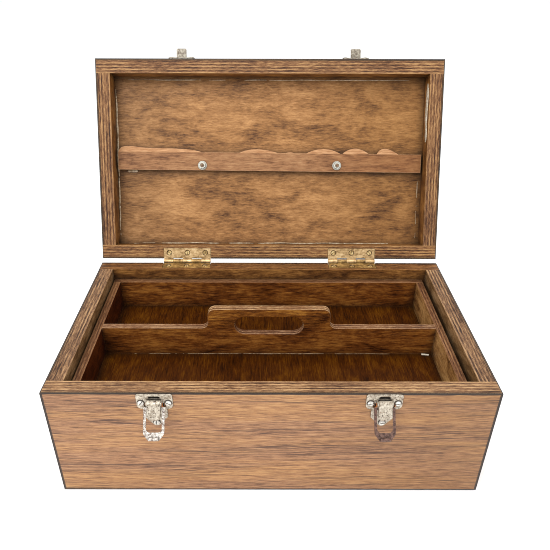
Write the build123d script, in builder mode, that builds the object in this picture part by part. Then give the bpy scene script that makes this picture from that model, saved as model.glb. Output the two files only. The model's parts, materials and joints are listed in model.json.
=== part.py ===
"""Hinged plywood craft box with a lift-out tray, two draw latches and two butt hinges.

The origin is the centre of the underside. +X runs along the width to the right, +Y to the hinges at the
back, +Z up. The lid stands open and the latches hang down. Pieces of the lid are drawn as they lie with
the lid closed, then turned about the hinge axis to the open position.
"""

from build123d import *
import os
from math import sqrt

os.makedirs("parts", exist_ok=True)

# Driving dimensions, in millimetres and degrees
WIDTH = 455.0  # outside, left to right
DEPTH = 261.0  # outside, front to back
BASE_HEIGHT = 141.5  # underside to rim
LID_HEIGHT = 40.0  # rim to outer face
RIM_GAP = 0.3  # between the two rims when closed
OPEN_ANGLE = 112.8  # how far the lid stands open

PLY = 17.3  # wall plywood
LAMINATE = 1.0  # decorative skin on every outer face
SKIRT = 0.8  # bare plywood left under the base's skins
BOTTOM = 9.0  # bottom panel
LID_PANEL = 12.7  # panel between the lid rails

TRAY_WIDTH = 412.6
TRAY_DEPTH = 222.6
TRAY_SHIFT = -1.3  # the tray sits a little to the left of the middle
TRAY_WALL = 8.8
TRAY_RIM = 127.0  # height of the tray rim above the underside
TRAY_INSIDE = 37.5  # depth of the tray bays
TRAY_FLOOR = 4.5
DIVIDER_FRONT = -1.8  # front face of the divider
GRIP_TOP = 153.6  # top of the divider's raised hand grip
GRIP_HALF = 71.7  # half its width
CLEAT = 14.0  # square battens that carry the tray

STRIP_LENGTH = 412.0
STRIP_HEIGHT = 24.0
STRIP_THICK = 9.0
STRIP_TILT = 0.5  # the strip is fixed a little out of level
STRIP_BEVEL = 9.5  # how far the scalloped bevel rises past the strip's band
# Scallops along the strip's bevelled edge: left end, crest, right end and rise
SCALLOPS = (
    (-41, -18, 11, 5.2),
    (22, 28, 34, 1.4),
    (50, 74, 96, 6.6),
    (99, 117, 135, 7.6),
    (146, 156, 175, 7.8),
)

HINGE_X = 112.0  # hinge centres, left and right of the middle
HINGE_LENGTH = 63.5
LEAF_REACH = 14.0  # from the back face into the rim
LEAF_THICK = 2.3
KNUCKLES = 5
KNUCKLE_RADIUS = 3.3
KNUCKLE_GAP = 0.3  # between the ends of neighbouring knuckles
HINGE_BACK = 3.65  # hinge axis behind the back face
PIN_RADIUS = 1.2
HINGE_SCREW_SPACING = 24.5
HINGE_SCREW_BACK = 8.0  # screw line in from the back face
HINGE_NOTCH = 1.2  # cut in a leaf's edge beside the other leaf's knuckles
MORTISE_GAP = 0.6  # round the ends of a leaf in its mortise

LATCH_X = 113.6  # latch centres, left and right of their own middle
LATCH_SHIFT = -1.8  # both latches sit a little to the left of the box's middle
SHEET = 1.0  # thickness of the latch plate
PIVOT_DOWN = 9.0  # lever rivet below the rim
PIVOT_OUT = 5.2  # lever rivet out from the front face
ROLL_RADIUS = 3.5  # rolled top of the lever
LEVER_HALF = 6.4
LEVER_SHEET = 0.9
LEVER_END = 26.5  # lower end of the closed lever below the rim
LEVER_TILT = 19.0  # how far the lever hangs open
BAIL_DOWN = 15.0  # bail pivot below the rim with the lever closed
BAIL_OUT = 3.0  # bail pivot out from the front face with the lever closed
BAIL_TILT = 38.0  # how far the bail hangs out from the front face
BAIL_SHEET = 1.6
BAIL_HALF = 10.4
BAIL_LOOP_HALF = 7.9
BAIL_STUB = 1.0  # radius of the bail's pivot stubs
BAIL_LOOP_END = 38.0  # far edge of the bail's opening, below the rim when it hangs straight
BAIL_END = 46.0
EAR_SCREW = (13.6, 11.2)  # ear screws: sideways, and below the rim
TIP_SCREW = 37.0  # lower plate screw below the rim
KEEPER_HALF = 17.0
KEEPER_SHEET = 1.6
KEEPER_TOP = 21.0  # upper edge of the keeper plate above the lid rim
KEEPER_SCREW = (13.0, 8.0)
HOOK_HALF = 6.4
HOOK_SHEET = 1.5
HOOK_OUT = 14.0  # how far the hook stands out from the lid
HOOK_SEAT = 6.0  # height above the lid rim where the bail pulls
HOOK_TIP = 11.5
HOOK_CORNER = 2.6

HANDLE_X = 91.5  # bolts of the carry handle, left and right of the middle
HANDLE_Y = 4.6  # bolts and handle behind the middle
HANDLE_ROD = 4.5  # radius
HANDLE_RISE = 33.0  # middle of the rod above the lid
HANDLE_LEG = 66.0  # middle of each leg, left and right of the middle
BOLT_RADIUS = 2.5
CLEAR = 0.05  # radial clearance of a screw, pin or bolt in its hole

# Derived places
WALL = PLY + LAMINATE
SKIN_WIDTH = WIDTH - 2 * LAMINATE  # front and back boards and skins stand between the side skins
INSIDE_X = WIDTH / 2 - WALL
INSIDE_Y = DEPTH / 2 - WALL
LID_RIM = BASE_HEIGHT + RIM_GAP
LID_TOP = LID_RIM + LID_HEIGHT
PANEL_FACE = LID_TOP - LAMINATE - LID_PANEL
STRIP_FACE = PANEL_FACE - STRIP_THICK
TRAY_UNDERSIDE = TRAY_RIM - TRAY_INSIDE - TRAY_FLOOR
TRAY_BED = TRAY_UNDERSIDE + TRAY_FLOOR
HINGE_Y = DEPTH / 2 + HINGE_BACK
HINGE_Z = BASE_HEIGHT + RIM_GAP / 2
HINGE_AXIS = Axis((0, HINGE_Y, HINGE_Z), (1, 0, 0))
SIDES = {"left": -1, "right": 1}

ALL_MIN = (Align.MIN, Align.MIN, Align.MIN)


def front_plane(z):
    """A plane on the front face at height z: x to the right, y up, normal out of the box."""
    return Plane(origin=(0, -DEPTH / 2, z), x_dir=(1, 0, 0), z_dir=(0, -1, 0))


def side_plane(x, z):
    """An upright plane across the front face at x: its x points out of the box, its y up."""
    return Plane(origin=(x, -DEPTH / 2, z), x_dir=(0, -1, 0), z_dir=(-1, 0, 0))


def board(low, high):
    """A square-edged board between two opposite corners."""
    size = [top - bottom for bottom, top in zip(low, high)]
    with BuildPart(Plane(origin=low)) as piece:
        Box(*size, align=ALL_MIN)
    return piece.part


def save(piece, name):
    """Label a finished piece and write it to its own file."""
    piece.label = name
    export_step(piece, f"parts/{name}.step")


def save_open(piece, name):
    """Turn a piece of the closed lid to where it stands with the lid open, and write it."""
    save(piece.rotate(HINGE_AXIS, -OPEN_ANGLE), name)


def countersunk_screw(head_radius, shank_radius, length):
    """A slotted screw with its flat head flush with the plane z = 0."""
    cone = head_radius - shank_radius
    with BuildPart() as screw:
        with BuildSketch(Plane.XZ):
            with BuildLine():
                Polyline(
                    (0, 0),
                    (head_radius, 0),
                    (shank_radius, -cone),
                    (shank_radius, -length),
                    (0, -length - shank_radius),
                    close=True,
                )
            make_face()
        revolve(axis=Axis.Z)
        with BuildSketch():
            Rectangle(2 * head_radius + 1, 0.8)
        extrude(amount=-0.7, mode=Mode.SUBTRACT)
    return screw.part


def round_head_screw(head_radius, head_height, shank_radius, length):
    """A slotted screw whose domed head stands on the plane z = 0."""
    with BuildPart() as screw:
        with Locations((0, 0, -length)):
            Cylinder(shank_radius, length, align=(Align.CENTER, Align.CENTER, Align.MIN))
            Cone(0.2, shank_radius, 2, align=(Align.CENTER, Align.CENTER, Align.MAX))
        Cylinder(head_radius, head_height, align=(Align.CENTER, Align.CENTER, Align.MIN))
        fillet(screw.edges().filter_by(GeomType.CIRCLE).sort_by(Axis.Z)[-1], 0.85 * head_height)
        with BuildSketch(Plane.XY.offset(head_height)):
            Rectangle(2 * head_radius + 1, 0.8)
        extrude(amount=-0.6 * head_height, mode=Mode.SUBTRACT)
    return screw.part


def screw_group(plane, screw, places):
    """Copies of one screw on a plane, each given as x, y and the turn of its slot."""
    with BuildPart(plane) as group:
        with Locations(*[Location((x, y, 0), (0, 0, turn)) for x, y, turn in places]):
            add(screw)
    return group.part


# ---------------------------------------------------------------- fasteners' places
LATCH_SCREWS = []
KEEPER_SCREWS = []
for turn, side in ((10, -1), (50, 1)):
    middle = side * LATCH_X + LATCH_SHIFT
    ear_x, ear_down = EAR_SCREW
    keep_x, keep_up = KEEPER_SCREW
    LATCH_SCREWS.append((middle - ear_x, -ear_down, 65 - turn))
    LATCH_SCREWS.append((middle + ear_x, -ear_down, -40 + turn))
    LATCH_SCREWS.append((middle, -TIP_SCREW, 70 + 2 * turn))
    KEEPER_SCREWS.append((middle - keep_x, keep_up, turn))
    KEEPER_SCREWS.append((middle + keep_x, keep_up, 90 - turn))

HINGE_SCREWS = []
for side in (-1, 1):
    for step, turn in ((-1, 35), (0, 80), (1, 120)):
        HINGE_SCREWS.append((side * HINGE_X + step * HINGE_SCREW_SPACING, 0, turn * side))

LATCH_SHANK = 1.3
LATCH_SHANK_LENGTH = 12.0
HINGE_SHANK = 1.5
HINGE_SHANK_LENGTH = 12.0
HINGE_HEAD = 2.8
HINGE_SINK = 3.8  # radius of the countersink at the leaf's face
HINGE_HEAD_DOWN = HINGE_SINK - HINGE_HEAD - CLEAR
HANDLE_BOLTS = ((-HANDLE_X, HANDLE_Y), (HANDLE_X, HANDLE_Y))


def round_holes(plane, places, radius):
    """Circles on a plane at the given places."""
    with BuildSketch(plane) as holes:
        with Locations(*[place[:2] for place in places]):
            Circle(radius)
    return holes.sketch


def hinge_recesses(rim):
    """Outlines of the hinge mortises in the back rim."""
    with BuildSketch(Plane.XY.offset(rim)) as recesses:
        with Locations(*[(side * HINGE_X, (DEPTH - LEAF_REACH) / 2) for side in SIDES.values()]):
            Rectangle(HINGE_LENGTH + 2 * MORTISE_GAP, LEAF_REACH + MORTISE_GAP)
    return recesses.sketch


HINGE_PILOT_PLACES = [(x, DEPTH / 2 - HINGE_SCREW_BACK) for x, y, turn in HINGE_SCREWS]
BASE_MORTISES = hinge_recesses(BASE_HEIGHT)
LID_MORTISES = hinge_recesses(LID_RIM)
BASE_HINGE_PILOTS = round_holes(Plane.XY.offset(BASE_HEIGHT), HINGE_PILOT_PLACES, HINGE_SHANK + CLEAR)
LID_HINGE_PILOTS = round_holes(Plane.XY.offset(LID_RIM), HINGE_PILOT_PLACES, HINGE_SHANK + CLEAR)
LATCH_PILOTS = round_holes(front_plane(BASE_HEIGHT), LATCH_SCREWS, LATCH_SHANK + CLEAR)
KEEPER_PILOTS = round_holes(front_plane(LID_RIM), KEEPER_SCREWS, LATCH_SHANK + CLEAR)
PANEL_BOLT_HOLES = round_holes(Plane.XY.offset(PANEL_FACE), HANDLE_BOLTS, BOLT_RADIUS + CLEAR)
STRIP_BOLT_HOLES = round_holes(Plane.XY.offset(STRIP_FACE), HANDLE_BOLTS, BOLT_RADIUS + CLEAR)
TOP_BOLT_HOLES = round_holes(Plane.XY.offset(LID_TOP), HANDLE_BOLTS, BOLT_RADIUS + CLEAR)
PILOT_DEPTH = LATCH_SHANK_LENGTH + 2
HINGE_PILOT_DEPTH = HINGE_SHANK_LENGTH + 3

# ---------------------------------------------------------------- base carcass
with BuildPart() as base_front_wall:
    with Locations((0, -DEPTH / 2 + LAMINATE, 0)):
        Box(SKIN_WIDTH, PLY, BASE_HEIGHT, align=(Align.CENTER, Align.MIN, Align.MIN))
    extrude(LATCH_PILOTS, amount=-PILOT_DEPTH, mode=Mode.SUBTRACT)
save(base_front_wall.part, "base_front_wall")

with BuildPart() as base_back_wall:
    with Locations((0, DEPTH / 2 - LAMINATE, 0)):
        Box(SKIN_WIDTH, PLY, BASE_HEIGHT, align=(Align.CENTER, Align.MAX, Align.MIN))
    extrude(BASE_MORTISES, amount=-LEAF_THICK, mode=Mode.SUBTRACT)
    extrude(BASE_HINGE_PILOTS, amount=-HINGE_PILOT_DEPTH, mode=Mode.SUBTRACT)
save(base_back_wall.part, "base_back_wall")

for name, side in SIDES.items():
    inner = side * INSIDE_X
    outer = side * (WIDTH / 2 - LAMINATE)
    wall = board((min(inner, outer), -INSIDE_Y, 0), (max(inner, outer), INSIDE_Y, BASE_HEIGHT))
    save(wall, f"base_{name}_wall")
    edge = side * WIDTH / 2
    skin = board((min(outer, edge), -DEPTH / 2, SKIRT), (max(outer, edge), DEPTH / 2, BASE_HEIGHT))
    save(skin, f"base_laminate_{name}")

save(board((-INSIDE_X, -INSIDE_Y, 0), (INSIDE_X, INSIDE_Y, BOTTOM)), "base_bottom_panel")

with BuildPart() as base_laminate_front:
    with Locations((0, -DEPTH / 2, SKIRT)):
        Box(SKIN_WIDTH, LAMINATE, BASE_HEIGHT - SKIRT, align=(Align.CENTER, Align.MIN, Align.MIN))
    extrude(LATCH_PILOTS, amount=-LAMINATE, mode=Mode.SUBTRACT)
save(base_laminate_front.part, "base_laminate_front")

with BuildPart() as base_laminate_back:
    with Locations((0, DEPTH / 2, SKIRT)):
        Box(SKIN_WIDTH, LAMINATE, BASE_HEIGHT - SKIRT, align=(Align.CENTER, Align.MAX, Align.MIN))
    extrude(BASE_MORTISES, amount=-LEAF_THICK, mode=Mode.SUBTRACT)
save(base_laminate_back.part, "base_laminate_back")

with BuildPart() as tray_cleats:
    for side in SIDES.values():
        with Locations((side * (INSIDE_X - CLEAT / 2), 0, TRAY_UNDERSIDE - CLEAT / 2)):
            Box(CLEAT, 2 * INSIDE_Y, CLEAT)
save(tray_cleats.part, "tray_cleats")

# ---------------------------------------------------------------- lid carcass, drawn closed
with BuildPart() as lid_front_rail:
    with Locations((0, -DEPTH / 2 + LAMINATE, LID_RIM)):
        Box(
            SKIN_WIDTH,
            PLY,
            LID_HEIGHT - LAMINATE,
            align=(Align.CENTER, Align.MIN, Align.MIN),
        )
    extrude(KEEPER_PILOTS, amount=-PILOT_DEPTH, mode=Mode.SUBTRACT)
save_open(lid_front_rail.part, "lid_front_rail")

with BuildPart() as lid_back_rail:
    with Locations((0, DEPTH / 2 - LAMINATE, LID_RIM)):
        Box(
            SKIN_WIDTH,
            PLY,
            LID_HEIGHT - LAMINATE,
            align=(Align.CENTER, Align.MAX, Align.MIN),
        )
    extrude(LID_MORTISES, amount=LEAF_THICK, mode=Mode.SUBTRACT)
    extrude(LID_HINGE_PILOTS, amount=HINGE_PILOT_DEPTH, mode=Mode.SUBTRACT)
save_open(lid_back_rail.part, "lid_back_rail")

for name, side in SIDES.items():
    inner = side * INSIDE_X
    outer = side * (WIDTH / 2 - LAMINATE)
    rail = board(
        (min(inner, outer), -INSIDE_Y, LID_RIM),
        (max(inner, outer), INSIDE_Y, LID_TOP - LAMINATE),
    )
    save_open(rail, f"lid_{name}_rail")
    edge = side * WIDTH / 2
    skin = board(
        (min(outer, edge), -DEPTH / 2, LID_RIM),
        (max(outer, edge), DEPTH / 2, LID_TOP - LAMINATE),
    )
    save_open(skin, f"lid_laminate_{name}")

with BuildPart() as lid_panel:
    with Locations((0, 0, PANEL_FACE)):
        Box(2 * INSIDE_X, 2 * INSIDE_Y, LID_PANEL, align=(Align.CENTER, Align.CENTER, Align.MIN))
    extrude(PANEL_BOLT_HOLES, amount=LID_PANEL, mode=Mode.SUBTRACT)
save_open(lid_panel.part, "lid_panel")

with BuildPart() as lid_laminate_front:
    with Locations((0, -DEPTH / 2, LID_RIM)):
        Box(SKIN_WIDTH, LAMINATE, LID_HEIGHT - LAMINATE, align=(Align.CENTER, Align.MIN, Align.MIN))
    extrude(KEEPER_PILOTS, amount=-LAMINATE, mode=Mode.SUBTRACT)
save_open(lid_laminate_front.part, "lid_laminate_front")

with BuildPart() as lid_laminate_back:
    with Locations((0, DEPTH / 2, LID_RIM)):
        Box(SKIN_WIDTH, LAMINATE, LID_HEIGHT - LAMINATE, align=(Align.CENTER, Align.MAX, Align.MIN))
    extrude(LID_MORTISES, amount=LEAF_THICK, mode=Mode.SUBTRACT)
save_open(lid_laminate_back.part, "lid_laminate_back")

with BuildPart() as lid_laminate_top:
    with Locations((0, 0, LID_TOP)):
        Box(WIDTH, DEPTH, LAMINATE, align=(Align.CENTER, Align.CENTER, Align.MAX))
    extrude(TOP_BOLT_HOLES, amount=-LAMINATE, mode=Mode.SUBTRACT)
save_open(lid_laminate_top.part, "lid_laminate_top")

# ---------------------------------------------------------------- shaped strip inside the lid
BAND_EDGE = -STRIP_HEIGHT / 2  # the strip's edge nearest the front of the lid
# The long tapering ledge at the left end: places along the strip and rise
LEDGE = ((-92, 0), (-106, 3.3), (-124, 4.8), (-148, 5.2), (-176, 6.2), (-195, 7.8), (-203, 5.5), (-205, 0))

with BuildPart() as lid_strip:
    with BuildSketch(Plane.XY.offset(STRIP_FACE)):
        Rectangle(STRIP_LENGTH, STRIP_HEIGHT)
        with BuildLine():
            Line((LEDGE[-1][0], BAND_EDGE), (LEDGE[0][0], BAND_EDGE))
            Spline(*[(place, BAND_EDGE - rise) for place, rise in LEDGE])
        make_face()
        for left, crest, right, rise in SCALLOPS:
            with BuildLine():
                Line((left, BAND_EDGE), (right, BAND_EDGE))
                Spline(
                    (right, BAND_EDGE),
                    ((right + crest) / 2, BAND_EDGE - 0.75 * rise),
                    (crest, BAND_EDGE - rise),
                    ((left + crest) / 2, BAND_EDGE - 0.75 * rise),
                    (left, BAND_EDGE),
                )
            make_face()
    extrude(amount=STRIP_THICK)
    # The bevel runs from the band's arris down to a thin edge on the panel
    with BuildSketch(Plane.YZ.offset(-STRIP_LENGTH / 2)):
        with BuildLine():
            Polyline(
                (BAND_EDGE, STRIP_FACE),
                (BAND_EDGE - STRIP_BEVEL, STRIP_FACE),
                (BAND_EDGE - STRIP_BEVEL, PANEL_FACE - 1.0),
                close=True,
            )
        make_face()
    extrude(amount=STRIP_LENGTH, mode=Mode.SUBTRACT)
with BuildPart() as drilled_strip:
    add(lid_strip.part.rotate(Axis.Z, STRIP_TILT))
    extrude(STRIP_BOLT_HOLES, amount=STRIP_THICK, mode=Mode.SUBTRACT)
save_open(drilled_strip.part, "lid_strip")

# ---------------------------------------------------------------- carry handle and its bolts
FOOT = (38.0, 19.0, 3.0)
FOOT_CORNER = 6.0
FOOT_X = HANDLE_X - 6.0
LEG_SPLAY = 8.0  # how far each leg leans out at its foot
LEG_SINK = 1.0  # how far the middle of the rod runs into the foot
BEND = 13.0
WASHER_THICK = 1.0
WASHER_RADIUS = 5.9
NUT_THICK = 4.0
NUT_SIZE = 8.0  # across flats
BOLT_HEAD_RADIUS = 5.5
BOLT_HEAD_RISE = 3.0

with BuildPart() as carry_handle:
    with BuildSketch(Plane.XY.offset(LID_TOP)):
        with Locations((-FOOT_X, HANDLE_Y), (FOOT_X, HANDLE_Y)):
            RectangleRounded(FOOT[0], FOOT[1], FOOT_CORNER)
    extrude(amount=FOOT[2])
    with BuildLine() as handle_path:
        FilletPolyline(
            (-HANDLE_LEG - LEG_SPLAY, HANDLE_Y, LID_TOP + LEG_SINK),
            (-HANDLE_LEG, HANDLE_Y, LID_TOP + HANDLE_RISE),
            (HANDLE_LEG, HANDLE_Y, LID_TOP + HANDLE_RISE),
            (HANDLE_LEG + LEG_SPLAY, HANDLE_Y, LID_TOP + LEG_SINK),
            radius=BEND,
        )
    with BuildSketch(Plane(origin=handle_path.line @ 0, z_dir=handle_path.line % 0)):
        Circle(HANDLE_ROD)
    sweep(path=handle_path.line)
    # The rod's ends are cut off flush with the lid
    with Locations((0, HANDLE_Y, LID_TOP)):
        Box(WIDTH, FOOT[1], FOOT[1], align=(Align.CENTER, Align.CENTER, Align.MAX), mode=Mode.SUBTRACT)
    extrude(TOP_BOLT_HOLES, amount=FOOT[2], mode=Mode.SUBTRACT)
save_open(carry_handle.part, "carry_handle")

NUT_FACE = STRIP_FACE - WASHER_THICK - NUT_THICK
BOLT_HEAD = LID_TOP + FOOT[2]
BOLT_LENGTH = BOLT_HEAD - NUT_FACE + 1.0
with BuildPart(Plane.XY.offset(BOLT_HEAD)) as handle_bolts:
    with Locations(*HANDLE_BOLTS):
        Cylinder(BOLT_HEAD_RADIUS, BOLT_HEAD_RISE, align=(Align.CENTER, Align.CENTER, Align.MIN))
    fillet(handle_bolts.edges().filter_by(GeomType.CIRCLE).group_by(Axis.Z)[-1], 0.8 * BOLT_HEAD_RISE)
    with Locations(*HANDLE_BOLTS):
        Cylinder(BOLT_RADIUS, BOLT_LENGTH, align=(Align.CENTER, Align.CENTER, Align.MAX))
    chamfer(handle_bolts.edges().filter_by(GeomType.CIRCLE).group_by(Axis.Z)[0], 0.5)
save_open(handle_bolts.part, "handle_bolts")

with BuildPart() as handle_washers:
    with BuildSketch(Plane.XY.offset(STRIP_FACE)):
        with Locations(*HANDLE_BOLTS):
            Circle(WASHER_RADIUS)
            Circle(BOLT_RADIUS + CLEAR, mode=Mode.SUBTRACT)
    extrude(amount=-WASHER_THICK)
save_open(handle_washers.part, "handle_washers")

with BuildPart() as handle_nuts:
    with BuildSketch(Plane.XY.offset(NUT_FACE)):
        with Locations(*HANDLE_BOLTS):
            RegularPolygon(NUT_SIZE / sqrt(3), 6, rotation=12)
            Circle(BOLT_RADIUS + CLEAR, mode=Mode.SUBTRACT)
    extrude(amount=NUT_THICK)
save_open(handle_nuts.part, "handle_nuts")


# ---------------------------------------------------------------- hinges
def hinge_leaf(x, rim, inward, first, bore):
    """A leaf let into the rim, with every second knuckle, counted from first."""
    pitch = HINGE_LENGTH / KNUCKLES
    centres = [x + pitch * (index - (KNUCKLES - 1) / 2) for index in range(KNUCKLES)]
    thick = (Align.CENTER, Align.MIN, Align.MAX if inward < 0 else Align.MIN)
    across = (Align.CENTER, Align.CENTER, thick[2])
    with BuildPart() as leaf:
        with Locations((x, DEPTH / 2 - LEAF_REACH, rim)):
            Box(HINGE_LENGTH, LEAF_REACH, LEAF_THICK, align=thick)
        for centre in centres[1 - first :: 2]:
            with Locations((centre, DEPTH / 2, rim)):
                Box(pitch + KNUCKLE_GAP, 2 * HINGE_NOTCH, LEAF_THICK, align=across, mode=Mode.SUBTRACT)
        for centre in centres[first::2]:
            with Locations((centre, DEPTH / 2 - HINGE_NOTCH, rim)):
                Box(pitch - KNUCKLE_GAP, HINGE_BACK + HINGE_NOTCH, LEAF_THICK, align=thick)
            with BuildSketch(Plane.YZ.offset(centre)):
                with Locations((HINGE_Y, HINGE_Z)):
                    Circle(KNUCKLE_RADIUS)
            extrude(amount=(pitch - KNUCKLE_GAP) / 2, both=True)
        with BuildSketch(Plane.YZ.offset(x)):
            with Locations((HINGE_Y, HINGE_Z)):
                Circle(bore)
        extrude(amount=HINGE_LENGTH, both=True, mode=Mode.SUBTRACT)
        outward = Plane(origin=(x, DEPTH / 2 - HINGE_SCREW_BACK, rim), x_dir=(1, 0, 0), z_dir=(0, 0, -inward))
        with Locations(outward):
            with GridLocations(HINGE_SCREW_SPACING, 1, 3, 1):
                CounterSinkHole(HINGE_SHANK + CLEAR, HINGE_SINK, 2 * LEAF_THICK, 90)
    return leaf.part


for name, side in SIDES.items():
    base_leaf = hinge_leaf(side * HINGE_X, BASE_HEIGHT, -1, 1, PIN_RADIUS)
    save(base_leaf, f"hinge_base_leaf_{name}")
    lid_leaf = hinge_leaf(side * HINGE_X, LID_RIM, 1, 0, PIN_RADIUS + CLEAR)
    save_open(lid_leaf, f"hinge_lid_leaf_{name}")

with BuildPart() as hinge_pins:
    for side in SIDES.values():
        with BuildSketch(Plane.YZ.offset(side * HINGE_X)):
            with Locations((HINGE_Y, HINGE_Z)):
                Circle(PIN_RADIUS)
        extrude(amount=HINGE_LENGTH / 2, both=True)
save(hinge_pins.part, "hinge_pins")

HINGE_SCREW = countersunk_screw(HINGE_HEAD, HINGE_SHANK, HINGE_SHANK_LENGTH)
SCREW_LINE = DEPTH / 2 - HINGE_SCREW_BACK
base_line = Plane(origin=(0, SCREW_LINE, BASE_HEIGHT - HINGE_HEAD_DOWN), z_dir=(0, 0, 1))
lid_line = Plane(origin=(0, SCREW_LINE, LID_RIM + HINGE_HEAD_DOWN), x_dir=(1, 0, 0), z_dir=(0, 0, -1))
save(screw_group(base_line, HINGE_SCREW, HINGE_SCREWS), "hinge_base_screws")
save_open(screw_group(lid_line, HINGE_SCREW, HINGE_SCREWS), "hinge_lid_screws")

# ---------------------------------------------------------------- tray
TRAY_LEFT = TRAY_SHIFT - TRAY_WIDTH / 2
TRAY_RIGHT = TRAY_SHIFT + TRAY_WIDTH / 2
BAY_LEFT = TRAY_LEFT + TRAY_WALL
BAY_RIGHT = TRAY_RIGHT - TRAY_WALL
TRAY_Y = TRAY_DEPTH / 2
BAY_Y = TRAY_Y - TRAY_WALL

save(board((TRAY_LEFT, -TRAY_Y, TRAY_BED), (TRAY_RIGHT, -BAY_Y, TRAY_RIM)), "tray_front_wall")
save(board((TRAY_LEFT, BAY_Y, TRAY_BED), (TRAY_RIGHT, TRAY_Y, TRAY_RIM)), "tray_back_wall")
save(board((TRAY_LEFT, -BAY_Y, TRAY_BED), (BAY_LEFT, BAY_Y, TRAY_RIM)), "tray_left_wall")
save(board((BAY_RIGHT, -BAY_Y, TRAY_BED), (TRAY_RIGHT, BAY_Y, TRAY_RIM)), "tray_right_wall")
save(board((TRAY_LEFT, -TRAY_Y, TRAY_UNDERSIDE), (TRAY_RIGHT, TRAY_Y, TRAY_BED)), "tray_floor")

SLOT_HALF = 40.5
SLOT_LOW = 119.0
SLOT_HIGH = 143.0
GRIP_ROUND = 9.0  # rounding at the top corners of the grip
STEP_ROUND = 8.0  # rounding where the grip meets the low rim

with BuildPart() as tray_divider:
    with BuildSketch(Plane.XZ.offset(-DIVIDER_FRONT)):
        with BuildLine():
            FilletPolyline(
                (BAY_LEFT, TRAY_BED),
                (BAY_LEFT, TRAY_RIM),
                (TRAY_SHIFT - GRIP_HALF, TRAY_RIM),
                (TRAY_SHIFT - GRIP_HALF, GRIP_TOP),
                (TRAY_SHIFT + GRIP_HALF, GRIP_TOP),
                (TRAY_SHIFT + GRIP_HALF, TRAY_RIM),
                (BAY_RIGHT, TRAY_RIM),
                (BAY_RIGHT, TRAY_BED),
                radius=[0, 0, STEP_ROUND, GRIP_ROUND, GRIP_ROUND, STEP_ROUND, 0, 0],
                close=True,
            )
        make_face()
        with Locations((TRAY_SHIFT, (SLOT_LOW + SLOT_HIGH) / 2)):
            SlotOverall(2 * SLOT_HALF, SLOT_HIGH - SLOT_LOW, mode=Mode.SUBTRACT)
    extrude(amount=-TRAY_WALL)
    arcs = tray_divider.edges().filter_by(GeomType.CIRCLE)
    slot_radius = (SLOT_HIGH - SLOT_LOW) / 2
    fillet(arcs.filter_by(lambda arc: abs(arc.radius - slot_radius) < 0.01), 1.2)
save(tray_divider.part, "tray_divider")


# ---------------------------------------------------------------- draw latches
PLATE_TOP = (36.0, 12.0)  # the plate's upper part, with the ears
PLATE_TOP_DOWN = 6.5  # its middle, below the rim
PLATE_CORNER = 2.0
EAR = (12.7, 13.8, 5.4)  # rounded lower end of each ear: sideways, down and radius
BODY_HALF = 11.8
BODY_END = 30.0  # where the plate starts to narrow towards its tip
TIP_HALF = 4.4
TIP_RADIUS = 4.8
ARM_HOLE = (9.4, 14.3, 3.2, 5.4)  # hole beside the lever: sideways, down, width and height
TOP_SLOT = (4.6, 11.5, 3.2)  # slot over the lever: down, width and height
CHEEK = 0.9  # thickness of the cheeks that hold the rivet
CHEEK_GAP = 0.3  # between the lever and each cheek
CHEEK_RADIUS = 2.2


def latch_plate(x):
    """Plate with two screw ears, a tapered tip and two cheeks that hold the lever's rivet."""
    ear_x, ear_down, ear_radius = EAR
    hole_x, hole_down, hole_width, hole_height = ARM_HOLE
    slot_down, slot_width, slot_height = TOP_SLOT
    with BuildPart() as plate:
        with BuildSketch(front_plane(BASE_HEIGHT)):
            with Locations((x, -PLATE_TOP_DOWN)):
                RectangleRounded(*PLATE_TOP, PLATE_CORNER)
            with Locations((x - ear_x, -ear_down), (x + ear_x, -ear_down)):
                Circle(ear_radius)
            with BuildLine():
                Polyline(
                    (x - BODY_HALF, -PLATE_TOP_DOWN),
                    (x + BODY_HALF, -PLATE_TOP_DOWN),
                    (x + BODY_HALF, -BODY_END),
                    (x + TIP_HALF, -TIP_SCREW - 2),
                    (x - TIP_HALF, -TIP_SCREW - 2),
                    (x - BODY_HALF, -BODY_END),
                    close=True,
                )
            make_face()
            with Locations((x, -TIP_SCREW)):
                Circle(TIP_RADIUS)
                Circle(LATCH_SHANK + CLEAR, mode=Mode.SUBTRACT)
            with Locations(*[(x + side * EAR_SCREW[0], -EAR_SCREW[1]) for side in SIDES.values()]):
                Circle(LATCH_SHANK + CLEAR, mode=Mode.SUBTRACT)
            with Locations((x - hole_x, -hole_down), (x + hole_x, -hole_down)):
                RectangleRounded(hole_width, hole_height, 0.35 * hole_width, mode=Mode.SUBTRACT)
            with Locations((x, -slot_down)):
                SlotOverall(slot_width, slot_height, mode=Mode.SUBTRACT)
        extrude(amount=SHEET)
        for side in SIDES.values():
            inner = side_plane(x + side * (LEVER_HALF + CHEEK_GAP), BASE_HEIGHT)
            with BuildSketch(inner):
                with Locations((PIVOT_OUT / 2, -PIVOT_DOWN)):
                    Rectangle(PIVOT_OUT, 2 * CHEEK_RADIUS)
                with Locations((PIVOT_OUT, -PIVOT_DOWN)):
                    Circle(CHEEK_RADIUS)
            extrude(amount=-side * CHEEK)
            with BuildSketch(inner):
                with Locations((PIVOT_OUT, -PIVOT_DOWN)):
                    Circle(PIN_RADIUS)
            extrude(amount=-side * CHEEK, mode=Mode.SUBTRACT)
    return plate.part


LEVER_SHOULDER = 7.0  # where the lever's web starts to turn in, above its lower end
LEVER_CORNER = 4.8  # rounding of the lever's lower corners
FLANGE_OUT = 1.35  # inner edge of the lever's flanges, out from the front face


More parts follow.
